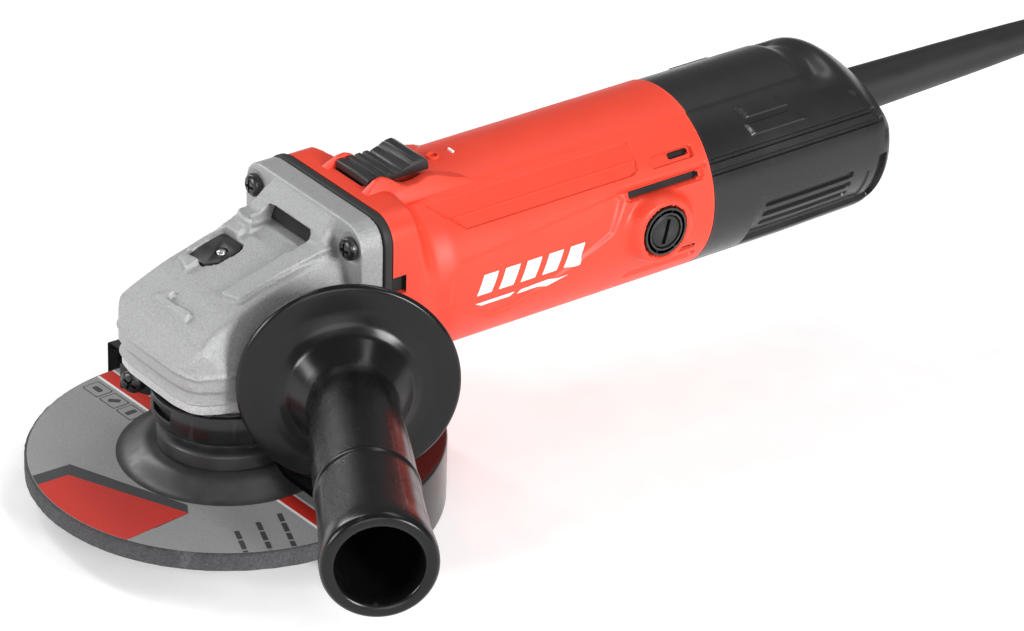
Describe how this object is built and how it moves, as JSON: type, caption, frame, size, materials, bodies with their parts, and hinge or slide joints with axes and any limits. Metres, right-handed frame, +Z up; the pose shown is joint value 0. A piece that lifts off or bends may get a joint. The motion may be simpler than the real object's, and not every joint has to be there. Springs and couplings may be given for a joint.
{
  "type": "angle grinder",
  "caption": "Corded angle grinder with depressed-centre wheel, half guard, barrel body, slide switch, shaft lock, side handle, and coiled mains cord with plug.",
  "frame": {"origin": "centre of the threaded spindle's free end face, on the spindle axis", "axes": "+Z up the spindle into the gear head, +Y along the motor body towards the cord, +X to the side that carries the side handle"},
  "size_m": [0.2153, 0.5969, 0.0988],
  "materials": {
    "cast_aluminium": "satin cast",
    "orange_housing": "semi-gloss moulded",
    "black_cover": "fine moulded",
    "switch_plastic": "fine moulded",
    "grip_plastic": "leather-grained",
    "guard_paint": "gloss",
    "abrasive": "coarse bonded grit",
    "flange_steel": "zinc plated",
    "bright_steel": "ground",
    "gear_steel": "hardened",
    "screw_black": "black oxide",
    "gasket_rubber": "matt",
    "cord_rubber": "matt",
    "copper": "enamelled",
    "laminated_steel": "stacked sheets",
    "carbon": "pressed carbon",
    "nylon": "natural",
    "plug_nickel": "nickel plated"
  },
  "bodies": {
    "housing": {"spindle_bearing": "bright_steel", "spindle_top_bearing": "bright_steel", "bearing_box": "cast_aluminium", "bearing_box_screw_1": "screw_black", "bearing_box_screw_2": "screw_black", "bearing_box_screw_3": "screw_black", "bearing_box_screw_4": "screw_black", "gear_housing": "cast_aluminium", "housing_screw_1": "screw_black", "housing_screw_2": "screw_black", "housing_screw_3": "screw_black", "housing_screw_4": "screw_black", "housing_gasket": "gasket_rubber", "motor_housing": "orange_housing", "rear_cover": "black_cover", "rear_cover_screw": "screw_black", "front_bearing": "bright_steel", "rear_bearing": "bright_steel", "fan_baffle": "nylon", "stator_core": "laminated_steel", "upper_field_coil": "copper", "lower_field_coil": "copper", "right_brush_holder": "switch_plastic", "right_brush_spring": "bright_steel", "right_brush_cap": "switch_plastic", "left_brush_holder": "switch_plastic", "left_brush_spring": "bright_steel", "left_brush_cap": "switch_plastic", "switch_body": "nylon", "side_grip": "grip_plastic", "side_grip_stud": "bright_steel", "cord_guard": "cord_rubber", "cord_clamp": "switch_plastic", "cord_clamp_screw_1": "screw_black", "cord_clamp_screw_2": "screw_black", "cord_tube": "cord_rubber", "cord_coil": "cord_rubber", "plug_body": "cord_rubber", "plug_pin_1": "plug_nickel", "plug_pin_2": "plug_nickel"},
    "spindle_unit": {"spindle": "bright_steel", "grinding_wheel": "abrasive", "inner_flange": "flange_steel", "lock_nut": "flange_steel", "bevel_gear": "gear_steel"},
    "armature": {"armature_shaft": "bright_steel", "pinion": "gear_steel", "cooling_fan": "nylon", "armature_core": "laminated_steel", "armature_winding": "copper", "commutator": "copper"},
    "guard": {"wheel_guard": "guard_paint", "guard_band": "guard_paint", "guard_clamp_screw": "bright_steel"},
    "switch_slider": {"switch_button": "switch_plastic", "switch_rod": "switch_plastic"},
    "shaft_lock": {"shaft_lock_button": "switch_plastic", "shaft_lock_pin": "bright_steel"},
    "right_brush": {"right_carbon_brush": "carbon"},
    "left_brush": {"left_carbon_brush": "carbon"}
  },
  "joints": [
    {"name": "spindle_spin", "type": "hinge", "parent": "housing", "child": "spindle_unit", "pos_m": [0, 0, 0.03], "axis": [0, 0, 1], "continuous": true},
    {"name": "armature_spin", "type": "hinge", "parent": "housing", "child": "armature", "pos_m": [0, 0.1, 0.0565], "axis": [0, 1, 0], "continuous": true},
    {"name": "guard_turn", "type": "hinge", "parent": "housing", "child": "guard", "pos_m": [0, 0, 0.027], "axis": [0, 0, 1], "range_deg": [-60, 75]},
    {"name": "switch_slide", "type": "slide", "parent": "housing", "child": "switch_slider", "axis": [0, -1, 0], "range_m": [0, 0.005]},
    {"name": "shaft_lock_press", "type": "slide", "parent": "housing", "child": "shaft_lock", "axis": [0, 0, -1], "range_m": [0, 0.003], "stiffness_N_per_m": 400, "springref_m": -0.003},
    {"name": "right_brush_slide", "type": "slide", "parent": "housing", "child": "right_brush", "axis": [1, 0, 0], "range_m": [0, 0.003], "stiffness_N_per_m": 150, "springref_m": -0.01, "deforming": ["right_brush_spring"]},
    {"name": "left_brush_slide", "type": "slide", "parent": "housing", "child": "left_brush", "axis": [-1, 0, 0], "range_m": [0, 0.003], "stiffness_N_per_m": 150, "springref_m": -0.01, "deforming": ["left_brush_spring"]}
  ],
  "couplings": [
    {"joint": "armature_spin", "follows": "spindle_spin", "ratio": 3}
  ]
}
